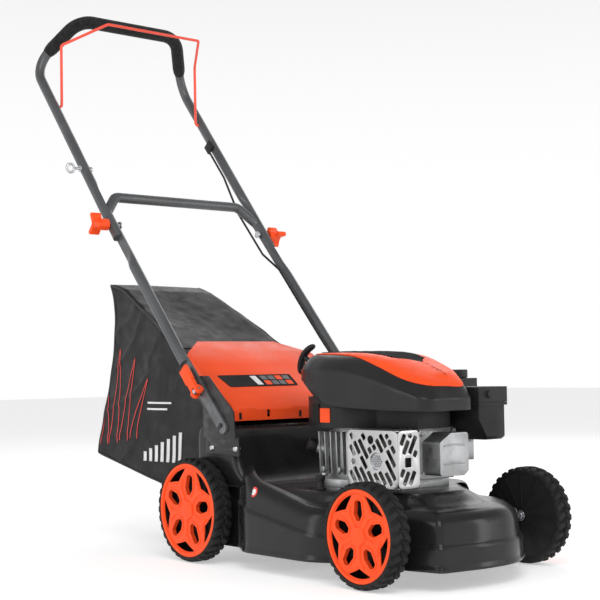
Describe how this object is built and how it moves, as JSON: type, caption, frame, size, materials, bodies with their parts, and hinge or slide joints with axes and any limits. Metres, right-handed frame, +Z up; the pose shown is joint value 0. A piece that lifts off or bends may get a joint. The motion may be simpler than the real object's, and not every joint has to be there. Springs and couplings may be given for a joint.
{
  "type": "push lawn mower",
  "caption": "Walk-behind petrol push lawn mower with black steel deck, orange wheels and rear flap, rear grass bag and folding tubular handle.",
  "frame": {"origin": "on the ground under the middle of the whole machine's bounding box", "axes": "+Z up; -Y towards the front of the mower, +Y towards the operator; +X towards the operator's left"},
  "size_m": [0.502, 1.239, 1.1959],
  "materials": {
    "deck_paint": "satin",
    "bracket_paint": "satin",
    "zinc": "satin",
    "black_plastic": "satin",
    "cast_alloy": "cast",
    "guard_metal": "satin",
    "muffler_steel": "dull",
    "machined_steel": "dull",
    "plug_body": "gloss",
    "orange_plastic": "satin",
    "wheel_black": "satin",
    "tread": "matte",
    "bag_fabric": "woven",
    "frame_steel": "satin",
    "graphite_paint": "satin",
    "bail_paint": "satin",
    "foam": "matte",
    "cable_sheath": "satin"
  },
  "bodies": {
    "deck": {"deck_shell": "deck_paint", "handle_brackets": "bracket_paint", "deck_fasteners": "zinc", "flap_hinge_rod": "zinc", "wash_port": "black_plastic", "axle_plates": "zinc", "crankcase": "cast_alloy", "sump": "cast_alloy", "cylinder_head": "cast_alloy", "valve_cover": "cast_alloy", "muffler": "muffler_steel", "muffler_guard": "guard_metal", "spark_plug": "plug_body", "carburettor": "machined_steel", "air_filter_box": "black_plastic", "blower_housing": "black_plastic", "engine_shroud": "black_plastic", "shroud_insert": "orange_plastic", "intake_grille": "black_plastic", "fuel_tank": "black_plastic", "piston": "cast_alloy", "connecting_rod": "cast_alloy"},
    "front_axle": {"front_axle": "zinc"},
    "rear_axle": {"rear_axle": "zinc"},
    "wheel_front_right": {"tyre_front_right": "tread", "wheel_front_right": "wheel_black", "cover_front_right": "orange_plastic"},
    "wheel_front_left": {"tyre_front_left": "tread", "wheel_front_left": "wheel_black", "cover_front_left": "orange_plastic"},
    "wheel_rear_right": {"tyre_rear_right": "tread", "wheel_rear_right": "wheel_black", "cover_rear_right": "orange_plastic"},
    "wheel_rear_left": {"tyre_rear_left": "tread", "wheel_rear_left": "wheel_black", "cover_rear_left": "orange_plastic"},
    "crank": {"crankshaft": "machined_steel", "flywheel": "machined_steel", "blade": "machined_steel", "blade_adapter": "machined_steel"},
    "recoil_pulley": {"recoil_pulley": "black_plastic"},
    "starter_grip": {"starter_grip": "black_plastic"},
    "fuel_cap": {"fuel_cap": "black_plastic"},
    "oil_dipstick": {"oil_dipstick": "black_plastic"},
    "air_filter_cover": {"air_filter_cover": "black_plastic"},
    "rear_flap": {"rear_flap": "orange_plastic"},
    "grass_bag": {"grass_bag": "bag_fabric", "bag_frame": "frame_steel"},
    "lower_handle": {"lower_handle": "graphite_paint", "handle_bolts": "zinc", "control_cable": "cable_sheath"},
    "upper_handle": {"upper_handle": "graphite_paint", "foam_grip": "foam", "rope_guide": "zinc", "cable_clip": "black_plastic"},
    "bail": {"bail": "bail_paint"},
    "wing_knob_right": {"wing_knob_right": "orange_plastic"},
    "wing_knob_left": {"wing_knob_left": "orange_plastic"},
    "cam_lever_right": {"cam_lever_right": "orange_plastic"},
    "cam_lever_left": {"cam_lever_left": "orange_plastic"}
  },
  "joints": [
    {"name": "front_height", "type": "slide", "parent": "deck", "child": "front_axle", "axis": [0, 0, 1], "range_m": [-0.03, 0]},
    {"name": "rear_height", "type": "slide", "parent": "deck", "child": "rear_axle", "axis": [0, 0, 1], "range_m": [-0.03, 0]},
    {"name": "wheel_front_right_spin", "type": "hinge", "parent": "front_axle", "child": "wheel_front_right", "pos_m": [-0.2055, -0.4865, 0.089], "axis": [1, 0, 0], "continuous": true},
    {"name": "wheel_front_left_spin", "type": "hinge", "parent": "front_axle", "child": "wheel_front_left", "pos_m": [0.2055, -0.4865, 0.089], "axis": [1, 0, 0], "continuous": true},
    {"name": "wheel_rear_right_spin", "type": "hinge", "parent": "rear_axle", "child": "wheel_rear_right", "pos_m": [-0.2105, -0.0045, 0.099], "axis": [1, 0, 0], "continuous": true},
    {"name": "wheel_rear_left_spin", "type": "hinge", "parent": "rear_axle", "child": "wheel_rear_left", "pos_m": [0.2105, -0.0045, 0.099], "axis": [1, 0, 0], "continuous": true},
    {"name": "crank_spin", "type": "hinge", "parent": "deck", "child": "crank", "pos_m": [0, -0.2745, 0.2], "axis": [0, 0, 1], "continuous": true, "deforming": ["connecting_rod"]},
    {"name": "starter_pull", "type": "slide", "parent": "deck", "child": "starter_grip", "axis": [-0.2371, 0.7754, 0.5853], "range_m": [0, 0.45], "stiffness_N_per_m": 20, "springref_m": -0.05},
    {"name": "starter_pulley_spin", "type": "hinge", "parent": "deck", "child": "recoil_pulley", "pos_m": [0, -0.2745, 0.328], "axis": [0, 0, 1], "range_deg": [0, 475]},
    {"name": "fuel_cap_turn", "type": "hinge", "parent": "deck", "child": "fuel_cap", "pos_m": [0.141, -0.3705, 0.35], "axis": [0, 0, 1], "continuous": true},
    {"name": "dipstick_turn", "type": "hinge", "parent": "deck", "child": "oil_dipstick", "pos_m": [-0.052, -0.2425, 0.209], "axis": [-0.8081, 0.5051, 0.303], "continuous": true},
    {"name": "filter_cover_lift", "type": "slide", "parent": "deck", "child": "air_filter_cover", "axis": [0, 0, 1], "range_m": [0, 0.05]},
    {"name": "flap_lift", "type": "hinge", "parent": "deck", "child": "rear_flap", "pos_m": [0, -0.0625, 0.282], "axis": [1, 0, 0], "range_deg": [0, 60]},
    {"name": "bag_remove", "type": "slide", "parent": "deck", "child": "grass_bag", "axis": [0, 1, 0], "range_m": [0, 0.4]},
    {"name": "lower_handle_fold", "type": "hinge", "parent": "deck", "child": "lower_handle", "pos_m": [0, -0.0205, 0.326], "axis": [1, 0, 0], "range_deg": [-60, 0], "deforming": ["control_cable"]},
    {"name": "upper_handle_fold", "type": "hinge", "parent": "lower_handle", "child": "upper_handle", "pos_m": [0, 0.2945, 0.678], "axis": [1, 0, 0], "range_deg": [0, 130]},
    {"name": "bail_squeeze", "type": "hinge", "parent": "upper_handle", "child": "bail", "pos_m": [0, 0.5355, 0.97], "axis": [1, 0, 0], "range_deg": [-18, 0], "stiffness_Nm_per_rad": 0.3, "springref_deg": 17.19},
    {"name": "wing_knob_right_turn", "type": "hinge", "parent": "lower_handle", "child": "wing_knob_right", "pos_m": [-0.23, 0.2945, 0.678], "axis": [1, 0, 0], "continuous": true},
    {"name": "wing_knob_left_turn", "type": "hinge", "parent": "lower_handle", "child": "wing_knob_left", "pos_m": [0.23, 0.2945, 0.678], "axis": [1, 0, 0], "continuous": true},
    {"name": "cam_lever_right_swing", "type": "hinge", "parent": "lower_handle", "child": "cam_lever_right", "pos_m": [-0.2133, -0.0205, 0.326], "axis": [0, -0.7431, 0.6691], "range_deg": [0, 90]},
    {"name": "cam_lever_left_swing", "type": "hinge", "parent": "lower_handle", "child": "cam_lever_left", "pos_m": [0.2133, -0.0205, 0.326], "axis": [0, 0.7431, -0.6691], "range_deg": [0, 90]}
  ],
  "couplings": [
    {"joint": "starter_pulley_spin", "follows": "starter_pull", "rad_per_m": 18.2}
  ]
}
